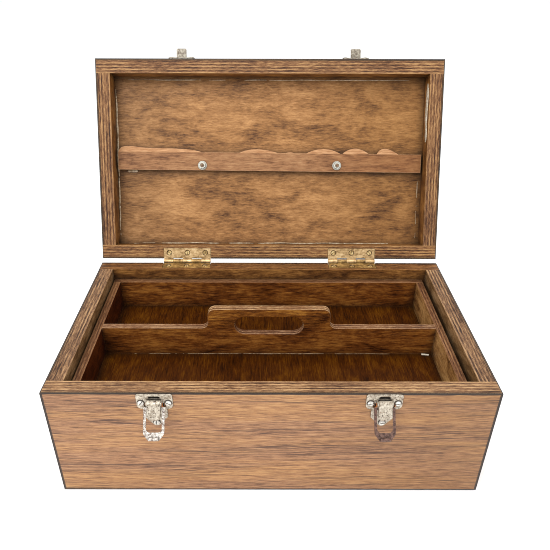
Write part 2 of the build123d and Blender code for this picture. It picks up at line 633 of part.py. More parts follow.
def latch_lever(x):
    """Closed channel-shaped lever, rolled over its rivet at the top and turned in at its lower end."""
    web = PIVOT_OUT + ROLL_RADIUS
    inner_web = web - LEVER_SHEET
    with BuildPart() as lever:
        with BuildSketch(side_plane(x, BASE_HEIGHT)):
            with Locations((PIVOT_OUT, -PIVOT_DOWN)):
                Circle(ROLL_RADIUS)
            with BuildLine():
                Polyline(
                    (web, -PIVOT_DOWN),
                    (web, -LEVER_END + LEVER_SHOULDER),
                    (web - 1.6, -LEVER_END + 1.4),
                    (web - 3.4, -LEVER_END),
                    (web - 4.4, -LEVER_END + 0.6),
                    (FLANGE_OUT, -BAIL_DOWN - 2.2),
                    (FLANGE_OUT, -PIVOT_DOWN - 4.4),
                    (PIVOT_OUT - 2.4, -PIVOT_DOWN - 2.4),
                    (PIVOT_OUT, -PIVOT_DOWN),
                    close=True,
                )
            make_face()
        extrude(amount=LEVER_HALF, both=True)
        with BuildSketch(side_plane(x, BASE_HEIGHT)):
            with Locations((PIVOT_OUT, -PIVOT_DOWN)):
                Circle(ROLL_RADIUS - LEVER_SHEET)
            with BuildLine():
                Polyline(
                    (inner_web, -PIVOT_DOWN),
                    (inner_web, -LEVER_END + LEVER_SHOULDER),
                    (web - 3.6, -LEVER_END + 1.2),
                    (0, -LEVER_END + 1.2),
                    (0, -PIVOT_DOWN - 4.6),
                    (PIVOT_OUT, -PIVOT_DOWN),
                    close=True,
                )
            make_face()
        extrude(amount=LEVER_HALF - LEVER_SHEET, both=True, mode=Mode.SUBTRACT)
        with BuildSketch(front_plane(BASE_HEIGHT)) as outline:
            with Locations((x, -(PIVOT_DOWN - ROLL_RADIUS + LEVER_END) / 2)):
                Rectangle(2 * LEVER_HALF, LEVER_END - PIVOT_DOWN + ROLL_RADIUS)
            fillet(outline.vertices().sort_by(Axis.Y)[:2], LEVER_CORNER)
        extrude(amount=web, mode=Mode.INTERSECT)
        with BuildSketch(side_plane(x, BASE_HEIGHT)):
            with Locations((PIVOT_OUT, -PIVOT_DOWN)):
                Circle(PIN_RADIUS + CLEAR)
            with Locations((BAIL_OUT, -BAIL_DOWN)):
                Circle(BAIL_STUB + CLEAR)
        extrude(amount=LEVER_HALF, both=True, mode=Mode.SUBTRACT)
    return lever.part


ARM_TOP = 1.5  # how far the bail's arms reach past their pivots
BAIL_TIP_HALF = 5.4
BAIL_CORNER = 4.0
STUB_START = BAIL_HALF - 1
STUB_LENGTH = STUB_START - LEVER_HALF + LEVER_SHEET + 0.2
BEAD = 1.7  # radius of the rolled edge
BEAD_OUT = 1.2


def latch_bail(x):
    """Stamped loop with two arms, a deep cross-piece with a rolled edge, and two pivot stubs."""
    with BuildPart() as bail:
        with BuildSketch(front_plane(BASE_HEIGHT).offset(BAIL_OUT - BAIL_SHEET / 2)):
            with BuildLine():
                FilletPolyline(
                    (x - BAIL_HALF, -BAIL_DOWN + ARM_TOP),
                    (x - BAIL_HALF, -BAIL_LOOP_END - 1),
                    (x - BAIL_TIP_HALF, -BAIL_END),
                    (x + BAIL_TIP_HALF, -BAIL_END),
                    (x + BAIL_HALF, -BAIL_LOOP_END - 1),
                    (x + BAIL_HALF, -BAIL_DOWN + ARM_TOP),
                    radius=[0, BAIL_CORNER, 2.5, 2.5, BAIL_CORNER, 0],
                    close=True,
                )
            make_face()
            with BuildLine():
                FilletPolyline(
                    (x - BAIL_LOOP_HALF, 0),
                    (x - BAIL_LOOP_HALF, -BAIL_LOOP_END),
                    (x + BAIL_LOOP_HALF, -BAIL_LOOP_END),
                    (x + BAIL_LOOP_HALF, 0),
                    radius=[0, BAIL_CORNER, BAIL_CORNER, 0],
                    close=True,
                )
            make_face(mode=Mode.SUBTRACT)
        extrude(amount=BAIL_SHEET)
        with BuildSketch(side_plane(x, BASE_HEIGHT)):
            with Locations((BAIL_OUT + BEAD_OUT, -BAIL_END + BEAD)):
                Circle(BEAD)
        extrude(amount=BAIL_TIP_HALF - 0.4, both=True)
        for side in SIDES.values():
            with BuildSketch(side_plane(x + side * STUB_START, BASE_HEIGHT)):
                with Locations((BAIL_OUT, -BAIL_DOWN)):
                    Circle(BAIL_STUB)
            extrude(amount=side * STUB_LENGTH)
    return bail.part


def keeper(x):
    """Plate on the lid with an upturned hook that the bail pulls down on; drawn closed."""
    shelf = HOOK_SEAT - HOOK_SHEET
    with BuildPart() as plate:
        with BuildSketch(side_plane(x, LID_RIM)):
            with BuildLine():
                FilletPolyline(
                    (KEEPER_SHEET / 2, shelf),
                    (HOOK_OUT, shelf),
                    (HOOK_OUT, HOOK_TIP),
                    (HOOK_OUT - HOOK_SHEET, HOOK_TIP),
                    (HOOK_OUT - HOOK_SHEET, HOOK_SEAT),
                    (KEEPER_SHEET / 2, HOOK_SEAT),
                    radius=[0, 3, 0.6, 0.6, 1.5, 0],
                    close=True,
                )
            make_face()
        extrude(amount=HOOK_HALF, both=True)
        # Seen from the rim, the hook's free corners are rounded
        with BuildSketch(Plane.XY.offset(LID_RIM)):
            with Locations((x, -DEPTH / 2)):
                RectangleRounded(2 * HOOK_HALF, 2 * HOOK_OUT, HOOK_CORNER)
        extrude(amount=KEEPER_TOP, mode=Mode.INTERSECT)
        with BuildSketch(front_plane(LID_RIM)):
            with Locations((x, (KEEPER_TOP + 0.5) / 2)):
                RectangleRounded(2 * KEEPER_HALF, KEEPER_TOP - 0.5, 3)
            with Locations(*[(x + side * KEEPER_SCREW[0], KEEPER_SCREW[1]) for side in SIDES.values()]):
                Circle(LATCH_SHANK + CLEAR, mode=Mode.SUBTRACT)
        extrude(amount=KEEPER_SHEET)
    return plate.part


def swing(piece, x, down, out, tilt):
    """Swing a latch piece away from the front face, about a pivot below the rim."""
    return piece.rotate(Axis((x, -DEPTH / 2 - out, BASE_HEIGHT - down), (1, 0, 0)), -tilt)


for name, side in SIDES.items():
    middle = side * LATCH_X + LATCH_SHIFT
    save(latch_plate(middle), f"latch_plate_{name}")
    open_lever = swing(latch_lever(middle), middle, PIVOT_DOWN, PIVOT_OUT, LEVER_TILT)
    save(open_lever, f"latch_lever_{name}")
    hung_bail = swing(latch_bail(middle), middle, BAIL_DOWN, BAIL_OUT, BAIL_TILT - LEVER_TILT)
    save(swing(hung_bail, middle, PIVOT_DOWN, PIVOT_OUT, LEVER_TILT), f"latch_bail_{name}")
    save_open(keeper(middle), f"keeper_{name}")

with BuildPart() as latch_rivets:
    for side in SIDES.values():
        with BuildSketch(side_plane(side * LATCH_X + LATCH_SHIFT, BASE_HEIGHT)):
            with Locations((PIVOT_OUT, -PIVOT_DOWN)):
                Circle(PIN_RADIUS)
        extrude(amount=LEVER_HALF + CHEEK_GAP + CHEEK, both=True)
save(latch_rivets.part, "latch_rivets")

PLATE_SCREW = round_head_screw(3.3, 1.7, LATCH_SHANK, LATCH_SHANK_LENGTH)
plate_face = front_plane(BASE_HEIGHT).offset(SHEET)
keeper_face = front_plane(LID_RIM).offset(KEEPER_SHEET)
save(screw_group(plate_face, PLATE_SCREW, LATCH_SCREWS), "latch_plate_screws")
save_open(screw_group(keeper_face, PLATE_SCREW, KEEPER_SCREWS), "keeper_screws")
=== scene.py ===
"""Looks for a hinged plywood craft box: wood, laminate, aged brass, pitted nickel and old glue."""
import json
import math

import bmesh
import bpy
from mathutils import Matrix, Vector, noise


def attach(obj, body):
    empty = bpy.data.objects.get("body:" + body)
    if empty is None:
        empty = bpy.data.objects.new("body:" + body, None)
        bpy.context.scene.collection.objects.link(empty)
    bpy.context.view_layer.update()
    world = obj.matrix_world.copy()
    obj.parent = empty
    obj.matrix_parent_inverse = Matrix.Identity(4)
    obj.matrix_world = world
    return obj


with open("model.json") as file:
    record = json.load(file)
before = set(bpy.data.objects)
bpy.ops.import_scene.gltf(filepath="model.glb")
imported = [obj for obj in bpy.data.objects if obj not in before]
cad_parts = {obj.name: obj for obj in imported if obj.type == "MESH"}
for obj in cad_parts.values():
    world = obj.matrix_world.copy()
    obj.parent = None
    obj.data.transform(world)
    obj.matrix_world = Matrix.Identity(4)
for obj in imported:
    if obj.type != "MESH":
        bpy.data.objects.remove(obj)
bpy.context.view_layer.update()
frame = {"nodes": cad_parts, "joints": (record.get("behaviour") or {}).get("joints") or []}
nodes = frame["nodes"]
joints = {joint["name"]: joint for joint in frame["joints"]}

MM = 0.001
MM_PER_M = 1000
X, Y, Z = 0, 1, 2

# The lid stands open in the CAD frame. Its looks are worked out in the closed lid's frame, in millimetres.
lid_joint = joints["lid_hinge"]
HINGE = Vector(lid_joint["pos_m"]) * MM_PER_M
OPEN = -math.radians(lid_joint["range_deg"][0])
CLOSE_LID = Matrix.Rotation(OPEN, 3, "X")
LID_SHIFT = HINGE - CLOSE_LID @ HINGE


# ------------------------------------------------------------------ places, read from the frame
def upright(point, closed):
    """A CAD point in millimetres; for the lid's nodes, in the closed lid's frame."""
    point = point * MM_PER_M
    return CLOSE_LID @ point + LID_SHIFT if closed else point


def lid_to_open(point):
    """A point of the closed lid, in millimetres, moved to the open lid, in metres."""
    return CLOSE_LID.transposed() @ (Vector(point) - LID_SHIFT) * MM


def limits(points):
    """The lowest and highest corners of a box around some points."""
    low = Vector([min(point[axis] for point in points) for axis in (X, Y, Z)])
    high = Vector([max(point[axis] for point in points) for axis in (X, Y, Z)])
    return low, high


def node_box(name, closed):
    return limits([upright(vertex.co, closed) for vertex in nodes[name].data.vertices])


def solid_centres(name, closed):
    """Middles of the separate pieces in one node, such as each of its screws, from left to right."""
    mesh = bmesh.new()
    mesh.from_mesh(nodes[name].data)
    bmesh.ops.remove_doubles(mesh, verts=mesh.verts, dist=0.01 * MM)
    waiting = set(mesh.verts)
    middles = []
    while waiting:
        front = [waiting.pop()]
        points = []
        while front:
            vertex = front.pop()
            points.append(upright(vertex.co, closed))
            neighbours = {edge.other_vert(vertex) for edge in vertex.link_edges} & waiting
            waiting -= neighbours
            front.extend(neighbours)
        low, high = limits(points)
        middles.append((low + high) / 2)
    mesh.free()
    return sorted(middles, key=lambda middle: [round(part) for part in middle])


# ------------------------------------------------------------------ short ways to write shader nodes
def srgb(red, green, blue):
    """A colour from 0-255 screen values."""
    parts = []
    for value in (red / 255, green / 255, blue / 255):
        parts.append(value / 12.92 if value <= 0.04045 else ((value + 0.055) / 1.055) ** 2.4)
    return (*parts, 1.0)


class Shader:
    """A material and short ways to add nodes to it. Sockets and plain numbers can be mixed freely."""

    def __init__(self, name):
        self.material = bpy.data.materials.new(name)
        self.material.use_nodes = True
        self.tree = self.material.node_tree
        self.tree.nodes.clear()
        output = self.tree.nodes.new("ShaderNodeOutputMaterial")
        self.surface = self.tree.nodes.new("ShaderNodeBsdfPrincipled")
        self.tree.links.new(self.surface.outputs[0], output.inputs[0])

    def node(self, kind, inputs, **settings):
        made = self.tree.nodes.new("ShaderNode" + kind)
        for key, value in settings.items():
            setattr(made, key, value)
        for key, value in inputs.items():
            self.plug(made.inputs[key], value)
        return made

    def plug(self, socket, value):
        if isinstance(value, bpy.types.NodeSocket):
            self.tree.links.new(value, socket)
        else:
            socket.default_value = value

    def math(self, operation, first, second=0.0, third=0.0):
        return self.node("Math", {0: first, 1: second, 2: third}, operation=operation).outputs[0]

    def about(self, signal, gain, base):
        """base plus gain times a noise signal's distance from its middle value, 0.5."""
        return self.math("MULTIPLY_ADD", self.math("SUBTRACT", signal, 0.5), gain, base)

    def vector(self, operation, first, second):
        return self.node("VectorMath", {0: first, 1: second}, operation=operation).outputs[0]

    def split(self, vector):
        return self.node("SeparateXYZ", {0: vector}).outputs

    def join(self, x, y, z):
        return self.node("CombineXYZ", {0: x, 1: y, 2: z}).outputs[0]

    def noise(self, vector, scale=1.0, detail=4.0, rough=0.5, warp=0.0):
        inputs = {"Vector": vector, "Scale": scale, "Detail": detail, "Roughness": rough, "Distortion": warp}
        return self.node("TexNoise", inputs).outputs[0]

    def spread(self, value, low, high, out_low=0.0, out_high=1.0):
        """value from low to high becomes out_low to out_high, smoothly and clamped."""
        inputs = {0: value, 1: low, 2: high, 3: out_low, 4: out_high}
        return self.node("MapRange", inputs, interpolation_type="SMOOTHSTEP").outputs[0]

    def mix(self, amount, first, second, blend="MIX"):
        made = self.node("Mix", {0: amount, 6: first, 7: second}, data_type="RGBA", blend_type=blend)
        return made.outputs[2]

    def ramp(self, value, stops):
        made = self.node("ValToRGB", {0: value})
        elements = made.color_ramp.elements
        while len(elements) < len(stops):
            elements.new(0.5)
        for element, (place, colour) in zip(elements, stops):
            element.position = place
            element.color = colour
        return made.outputs[0]

    def bump(self, height, strength, distance):
        inputs = {"Strength": strength, "Distance": distance, "Height": height}
        self.plug(self.surface.inputs["Normal"], self.node("Bump", inputs).outputs[0])

    def finish(self, colour, roughness, metallic=0.0, shine=0.5):
        self.plug(self.surface.inputs["Base Color"], colour)
        self.plug(self.surface.inputs["Roughness"], roughness)
        self.plug(self.surface.inputs["Metallic"], metallic)
        self.surface.inputs["Specular IOR Level"].default_value = shine
        return self.material


def position_of(shader, closed):
    """Position in millimetres in the piece's own upright frame."""
    source = shader.node("TexCoord", {}).outputs["Object"]
    turn = (OPEN, 0, 0) if closed else (0, 0, 0)
    shift = tuple(LID_SHIFT) if closed else (0, 0, 0)
    inputs = {"Vector": source, "Location": shift, "Rotation": turn, "Scale": (MM_PER_M, MM_PER_M, MM_PER_M)}
    return shader.node("Mapping", inputs, vector_type="POINT").outputs[0]


def normal_of(shader, closed):
    """Surface normal in the piece's own upright frame."""
    source = shader.node("TexCoord", {}).outputs["Normal"]
    turn = (OPEN, 0, 0) if closed else (0, 0, 0)
    return shader.node("Mapping", {"Vector": source, "Rotation": turn}, vector_type="VECTOR").outputs[0]


def along_grain(shader, position, axis, stretch, seed):
    """Position squeezed along the grain, so that noise makes streaks; seed moves it to other wood."""
    scale = [1.0, 1.0, 1.0]
    scale[axis] = 1.0 / stretch
    moved = shader.vector("ADD", position, (seed * 37.1, seed * 91.7, seed * 53.3))
    return shader.vector("MULTIPLY", moved, tuple(scale))


def edge_distance(shader, position, box):
    """Distance in millimetres from a point on a board's surface to the nearest edge of the board."""
    low, high = box
    parts = shader.split(position)
    gaps = []
    for axis in (X, Y, Z):
        below = shader.math("SUBTRACT", parts[axis], low[axis])
        above = shader.math("SUBTRACT", high[axis], parts[axis])
        gaps.append(shader.math("MAXIMUM", shader.math("MINIMUM", below, above), 0.0))
    total = shader.math("ADD", shader.math("ADD", gaps[0], gaps[1]), gaps[2])
    least = shader.math("MINIMUM", shader.math("MINIMUM", gaps[0], gaps[1]), gaps[2])
    most = shader.math("MAXIMUM", shader.math("MAXIMUM", gaps[0], gaps[1]), gaps[2])
    return shader.math("SUBTRACT", shader.math("SUBTRACT", total, least), most)


def facing(shader, normal, axis):
    """1 where the surface faces along an axis, either way, and 0 where it faces across it."""
    return shader.spread(shader.math("ABSOLUTE", shader.split(normal)[axis]), 0.6, 0.8)


def corner_shade_and_grime(shader, colour, reach, amount, dark=(0.012, 0.006, 0.003, 1.0)):
    """Darkens a colour in corners and gaps by how hidden they are: painted shade, with the dirt and old
    stain that collect there; reach is in millimetres.
    """
    source = shader.node("AmbientOcclusion", {"Distance": reach * MM}, samples=6)
    hidden = shader.spread(source.outputs["AO"], 0.25, 0.95, amount, 0.0)
    return shader.mix(hidden, colour, dark)


def around(shader, position, centres, axis):
    """Distance in millimetres from the nearest of some points, measured across an axis."""
    flat = [1.0, 1.0, 1.0]
    flat[axis] = 0.0
    position = shader.vector("MULTIPLY", position, tuple(flat))
    least = 1000.0
    for centre in centres:
        level = tuple(a * b for a, b in zip(centre, flat))
        away = shader.node("VectorMath", {0: position, 1: level}, operation="DISTANCE").outputs["Value"]
        least = shader.math("MINIMUM", least, away)
    return least


def screw_ring(shader, colour, position, screws, axis, radius, dark):
    """Dirt and painted shade in the ring between a screw head and its seat."""
    away = shader.math("ABSOLUTE", shader.math("SUBTRACT", around(shader, position, screws, axis), radius))
    return shader.mix(shader.spread(away, 0.1, 0.8, 0.9, 0.0), colour, dark)


def shade(shader, colour, position, shades):
    """Tints a colour gradually along an axis; used for painted shade and painted light that change across
    the box, and for the dark outer ply.
    """
    for axis, start, end, tint in shades:
        amount = shader.spread(shader.split(position)[axis], start, end)
        colour = shader.mix(amount, colour, tint, "MULTIPLY")
    return colour


def in_boxes(shader, position, boxes, soft):
    """1 inside any of some boxes, fading out over a soft width in millimetres."""
    parts = shader.split(position)
    best = 0.0
    for low, high in boxes:
        outside = -1000.0
        for axis in (X, Y, Z):
            middle = (low[axis] + high[axis]) / 2
            offset = shader.math("ABSOLUTE", shader.math("SUBTRACT", parts[axis], middle))
            outside = shader.math("MAXIMUM", outside, shader.math("SUBTRACT", offset, high[axis] - middle))
        best = shader.math("MAXIMUM", best, shader.spread(outside, -soft, soft, 1.0, 0.0))
    return best


def worn_edges(shader, width, chips, amount):
    """amount on exposed arrises within about a width in millimetres, broken up by the chips noise."""
    rounded = shader.node("Bevel", {"Radius": width * MM}, samples=4).outputs[0]
    flat = shader.node("NewGeometry", {}).outputs["True Normal"]
    turned = shader.node("VectorMath", {0: rounded, 1: flat}, operation="DOT_PRODUCT").outputs["Value"]
    edge = shader.about(chips, 0.35, shader.math("SUBTRACT", 1.0, turned))
    open_sky = shader.node("AmbientOcclusion", {"Distance": 4 * MM}, samples=4).outputs["AO"]
    exposed = shader.spread(open_sky, 0.45, 0.7)
    return shader.math("MULTIPLY", shader.math("MULTIPLY", shader.spread(edge, 0.03, 0.2), exposed), amount)


# ------------------------------------------------------------------ wood
def veneer(shader, position, axis, seed, colours, streaks=1.0, mottle=1.0, reach=9.0):
    """Colour and height of a stained wood face: short sharp grain, mottled stain and dark pores."""
    dark, middle, light = colours
    grain = shader.noise(along_grain(shader, position, axis, reach, seed), 0.75, 6.0, 0.72, 0.2)
    figure = shader.noise(along_grain(shader, position, axis, 0.7 * reach, seed + 1.3), 0.11, 4.0, 0.6, 0.8)
    blotch = shader.noise(along_grain(shader, position, axis, 1.7, seed + 2.9), 0.03, 7.0, 0.7, 0.6)
    tone = shader.about(grain, 2.2 * streaks, 0.5)
    tone = shader.about(figure, 1.1 * streaks, tone)
    tone = shader.about(blotch, 1.9 * mottle, tone)
    colour = shader.ramp(tone, [(0.05, dark), (0.5, middle), (0.95, light)])
    pores = shader.noise(along_grain(shader, position, axis, 1.8 * reach, seed + 4.1), 1.5, 2.0, 0.5)
    pores = shader.spread(pores, 0.60, 0.68)
    colour = shader.mix(shader.math("MULTIPLY", pores, 0.5 * streaks), colour, dark)
    return colour, shader.math("MULTIPLY_ADD", pores, -0.7, grain)


def ply_edge(shader, position, box, ply_axis, grain_axis, seed, colours, plies):
    """Colour and tone of a plywood edge: pale plies between dark ones, wandering, fading and gritty."""
    dark, middle, light = colours
    low, high = box
    drift = shader.noise(along_grain(shader, position, grain_axis, 30.0, seed), 0.5, 3.0, 0.6)
    depth = shader.about(drift, 2.0, shader.split(position)[ply_axis])
    pitch = (high[ply_axis] - low[ply_axis]) / plies
    turns = shader.math("DIVIDE", shader.math("SUBTRACT", depth, low[ply_axis]), pitch)
    wave = shader.math("SINE", shader.math("MULTIPLY", turns, math.pi))
    faint = shader.noise(along_grain(shader, position, grain_axis, 9.0, seed + 3.0), 0.16, 3.0, 0.6)
    wave = shader.math("MULTIPLY", wave, shader.spread(faint, 0.35, 0.65, 0.1, 1.0))
    grit = shader.noise(along_grain(shader, position, grain_axis, 10.0, seed + 5.0), 1.05, 5.0, 0.8)
    patch = shader.noise(along_grain(shader, position, grain_axis, 3.0, seed + 8.0), 0.05, 3.0, 0.5)
    tone = shader.math("MULTIPLY_ADD", wave, 0.34, 0.5)
    tone = shader.about(grit, 2.6, tone)
    tone = shader.about(patch, 0.7, tone)
    return shader.ramp(tone, [(0.1, dark), (0.5, middle), (0.95, light)]), tone


def plywood(name, closed, ply_axis, grain_axis, seed, face, edge, plies=9, wear=0.6, rough=0.5, shine=0.22,
            shades=(), streaks=1.0, mottle=1.0, reach=9.0):
    """A plywood board: veneer on its broad faces, plies on its edges and pale worn arrises."""
    shader = Shader(name + "_wood")
    position = position_of(shader, closed)
    face_colour, face_height = veneer(shader, position, grain_axis, seed, face, streaks, mottle, reach)
    box = node_box(name, closed)
    edge_colour, edge_tone = ply_edge(shader, position, box, ply_axis, grain_axis, seed, edge, plies)
    broad = facing(shader, normal_of(shader, closed), ply_axis)
    colour = shade(shader, shader.mix(broad, edge_colour, face_colour), position, shades)
    colour = corner_shade_and_grime(shader, colour, 14.0, 0.8)
    if wear:
        chips = shader.noise(along_grain(shader, position, grain_axis, 5.0, seed), 0.5, 4.0, 0.7)
        colour = shader.mix(worn_edges(shader, 1.1, chips, wear), colour, edge[2])
    height = shader.math("MULTIPLY_ADD", broad, shader.math("SUBTRACT", face_height, edge_tone), edge_tone)
    shader.bump(height, 0.4, 0.5 * MM)
    gloss = shader.math("MULTIPLY_ADD", shader.noise(position, 0.05, 3.0), 0.25, rough - 0.12)
    return shader.finish(colour, gloss, 0.0, shine)


def laminate(name, closed, skin_axis, grain_axis, seed, shades=(), shadow_windows=()):
    """Wood-print laminate: long teak lines on the broad face, near-black along its thin edges.

    The boxes given behind openings in the metal in front mark where the laminate is painted near-black:
    painted shadow, with some grime.
    """
    shader = Shader(name + "_print")
    position = position_of(shader, closed)
    cross_axis = X + Y + Z - skin_axis - grain_axis
    long = along_grain(shader, position, grain_axis, 14.0, seed)
    length = shader.math("MULTIPLY", shader.split(long)[grain_axis], 0.05)
    sway = shader.noise(along_grain(shader, position, grain_axis, 5.0, seed + 2), 0.022, 3.0, 0.5, 0.3)
    rows = shader.math("MULTIPLY", shader.split(position)[cross_axis], 0.17)
    rows = shader.math("MULTIPLY_ADD", sway, 4.0, rows)
    band = shader.noise(long, 0.05, 4.0, 0.6, 0.3)
    lines = shader.noise(shader.join(rows, length, seed), 3.4, 6.0, 0.8)
    hair = shader.noise(along_grain(shader, position, grain_axis, 26.0, seed + 7), 1.5, 4.0, 0.75)
    tone = shader.about(lines, 1.25, 0.56)
    tone = shader.about(hair, 2.5, tone)
    tone = shader.about(band, 0.6, tone)
    colour = shader.ramp(tone, LAMINATE_TONES)
    golden = shader.math("MULTIPLY", shader.spread(band, 0.38, 0.6), 0.75)
    colour = shader.mix(golden, colour, GOLDEN, "MULTIPLY")

    # Thin dark lines run where a slow noise crosses one value, and break off here and there.
    ring = shader.noise(shader.join(rows, shader.math("MULTIPLY", length, 0.3), seed + 5.0), 2.4, 2.0, 0.5)
    streak = shader.math("ABSOLUTE", shader.math("SUBTRACT", ring, 0.53))
    streak = shader.spread(streak, 0.008, 0.03, 1.0, 0.0)
    broken = shader.spread(shader.noise(long, 0.055, 2.0, 0.5), 0.38, 0.52)
    streak = shader.math("MULTIPLY", streak, broken)
    colour = shader.mix(shader.math("MULTIPLY", streak, 0.78), colour, TEAK_LINE)
    colour = shade(shader, colour, position, shades)

    colour = shader.mix(facing(shader, normal_of(shader, closed), skin_axis), SKIN_EDGE, colour)
    distance = edge_distance(shader, position, node_box(name, closed))
    nicks = shader.noise(along_grain(shader, position, grain_axis, 4.0, seed), 0.3, 3.0)
    rim = shader.spread(shader.math("MULTIPLY_ADD", nicks, -1.1, distance), 0.5, 1.4, 0.92, 0.0)
    colour = shader.mix(rim, colour, SKIN_EDGE)
    colour = corner_shade_and_grime(shader, colour, 5.0, 0.7)
    # Painted shadow: behind the latch plates' openings the laminate is painted near-black.
    if shadow_windows:
        colour = shader.mix(in_boxes(shader, position, shadow_windows, 0.4), colour, WINDOW_SHADOW_BLACK)
    shader.bump(shader.math("MULTIPLY_ADD", streak, -0.6, hair), 0.15, 0.2 * MM)
    return shader.finish(colour, shader.math("MULTIPLY_ADD", lines, 0.16, 0.34), 0.0, 0.35)


def strip_wood(name, seed):
    """Stained strip whose sloping bevel was cut after staining and shows bare wood."""
    shader = Shader(name)
    position = position_of(shader, True)
    colour, height = veneer(shader, position, X, seed, STRIP, 0.8, 0.8)
    colour = shade(shader, colour, position, STRIP_PAINTED_SHADE)
    steepness = shader.math("ABSOLUTE", shader.split(normal_of(shader, True))[Z])
    from_bevel = shader.math("ABSOLUTE", shader.math("SUBTRACT", steepness, BEVEL_STEEPNESS))
    pale = shader.noise(along_grain(shader, position, X, 6.0, 9), 0.4, 4.0, 0.7)
    bare = shader.mix(shader.spread(pale, 0.35, 0.65), DUSTY_BARE, BARE)
    colour = shader.mix(shader.spread(from_bevel, 0.08, 0.14, 1.0, 0.0), colour, bare)
    colour = corner_shade_and_grime(shader, colour, 8.0, 0.8)
    colour = shader.mix(worn_edges(shader, 1.2, pale, 0.9), colour, BARE)
    shader.bump(height, 0.4, 0.5 * MM)
    return shader.finish(colour, shader.math("MULTIPLY_ADD", pale, 0.2, 0.38), 0.0, 0.22)


# ------------------------------------------------------------------ metal
def brass(name, tones, closed, screws):
    """Aged brass: brushed, blotched with brown tarnish, darker in spots and around its screws."""
    dark, middle, light = tones
    shader = Shader(name)
    position = position_of(shader, closed)
    brushed = shader.noise(along_grain(shader, position, X, 12.0, 2), 1.2, 4.0, 0.7)
    tarnish = shader.noise(position, 0.16, 5.0, 0.6, 0.4)
    specks = shader.spread(shader.noise(position, 0.9, 3.0, 0.6), 0.60, 0.70)
    colour = shader.ramp(shader.about(brushed, 0.9, tarnish), [(0.3, dark), (0.5, middle), (0.72, light)])
    colour = shader.mix(shader.math("MULTIPLY", specks, 0.5), colour, dark)
    colour = corner_shade_and_grime(shader, colour, 3.0, 0.9)
    colour = screw_ring(shader, colour, position, screws, Z, HINGE_SCREW_RING, BRASS_DIRT_AND_SHADE)
    shader.bump(shader.math("MULTIPLY_ADD", specks, -0.8, brushed), 0.25, 0.15 * MM)
    return shader.finish(colour, shader.math("MULTIPLY_ADD", tarnish, -0.2, 0.5), 0.55)


def nickel(name, light, grey, rust, closed=False, scale=1.0, pitted=0.8, screws=(), stains=()):
    """Pitted nickel plate over steel: cream highlights, dark pits and rust that has bled through."""
    shader = Shader(name)
    position = position_of(shader, closed)
    blotch = shader.noise(position, 0.3 * scale, 6.0, 0.7, 0.5)
    pits = shader.spread(shader.noise(position, 0.8 * scale, 4.0, 0.75), 0.57, 0.61)
    rusty = shader.noise(shader.vector("ADD", position, (41, 7, 19)), 0.35 * scale, 5.0, 0.7, 0.3)
    rusty = shader.spread(rusty, 0.66 - 0.12 * rust, 0.76 - 0.12 * rust)
    colour = shader.ramp(blotch, [(0.38, grey), (0.6, light)])
    colour = shader.mix(shader.math("MULTIPLY", pits, pitted), colour, PIT)
    colour = shader.mix(rusty, colour, DARK_RUST)
    colour = screw_ring(shader, colour, position, screws, Y, LATCH_SCREW_RING, NICKEL_DIRT_AND_SHADE)
    colour = corner_shade_and_grime(shader, colour, 3.0, 0.95, (0.02, 0.012, 0.008, 1.0))
    if stains:
        frayed = shader.noise(position, 0.5, 4.0, 0.7)
        ragged = shader.math("MULTIPLY_ADD", frayed, -2.4, around(shader, position, stains, Y))
        colour = shader.mix(shader.spread(ragged, 0.9, 2.2, 0.9, 0.0), colour, RUST)
    dull = shader.math("MAXIMUM", rusty, shader.math("MULTIPLY", pits, 0.7))
    shader.bump(shader.math("MULTIPLY_ADD", dull, -1.0, blotch), 0.6, 0.4 * MM)
    return shader.finish(colour, shader.math("MULTIPLY_ADD", dull, 0.3, 0.4), 0.3)


def plated_steel(name, closed):
    """Bright zinc plate with a faint brushed haze and small dull spots."""
    shader = Shader(name)
    position = position_of(shader, closed)
    haze = shader.noise(position, 0.5, 4.0, 0.6)
    spots = shader.spread(shader.noise(position, 1.1, 3.0), 0.60, 0.70)
    colour = shader.ramp(haze, [(0.3, srgb(168, 166, 156)), (0.7, srgb(222, 220, 208))])
    colour = shader.mix(shader.math("MULTIPLY", spots, 0.6), colour, srgb(104, 84, 62))
    colour = corner_shade_and_grime(shader, colour, 2.5, 0.9)
    shader.bump(shader.math("MULTIPLY_ADD", spots, -0.6, haze), 0.3, 0.2 * MM)
    return shader.finish(colour, shader.math("MULTIPLY_ADD", haze, 0.2, 0.3), 0.4)


def dress(name, material, bevel=0.0):
    """Gives a CAD node its material and, on boards, slightly softened edges."""
    piece = nodes[name]
    piece.data.materials.clear()
    piece.data.materials.append(material)
    for polygon in piece.data.polygons:
        polygon.material_index = 0
    if bevel:
        soften = piece.modifiers.new("soft_edges", "BEVEL")
        soften.width = bevel * MM
        soften.segments = 2
        soften.limit_method = "ANGLE"
        soften.angle_limit = math.radians(40)


# ------------------------------------------------------------------ colours, and where they change
# A wood or brass palette is (dark, middle, light).
RIM = (srgb(50, 29, 17), srgb(124, 88, 58), srgb(186, 148, 104))
SIDE_RIM = (srgb(44, 26, 16), srgb(114, 81, 54), srgb(172, 136, 96))
BACK_RIM = (srgb(44, 24, 10), srgb(106, 66, 32), srgb(160, 114, 66))
LID_RIM = (srgb(48, 26, 15), srgb(116, 78, 48), srgb(174, 134, 88))
LOW_RIM = (srgb(54, 30, 15), srgb(128, 86, 50), srgb(184, 142, 90))
INNER = (srgb(54, 28, 7), srgb(116, 74, 34), srgb(170, 120, 62))
OLIVE = (srgb(66, 44, 20), srgb(126, 94, 58), srgb(170, 136, 98))
PANEL = (srgb(70, 40, 18), srgb(148, 103, 59), srgb(190, 141, 90))
STRIP = (srgb(90, 55, 33), srgb(149, 105, 69), srgb(176, 134, 94))
TRAY_DARK = (srgb(46, 17, 2), srgb(110, 60, 20), srgb(160, 104, 44))
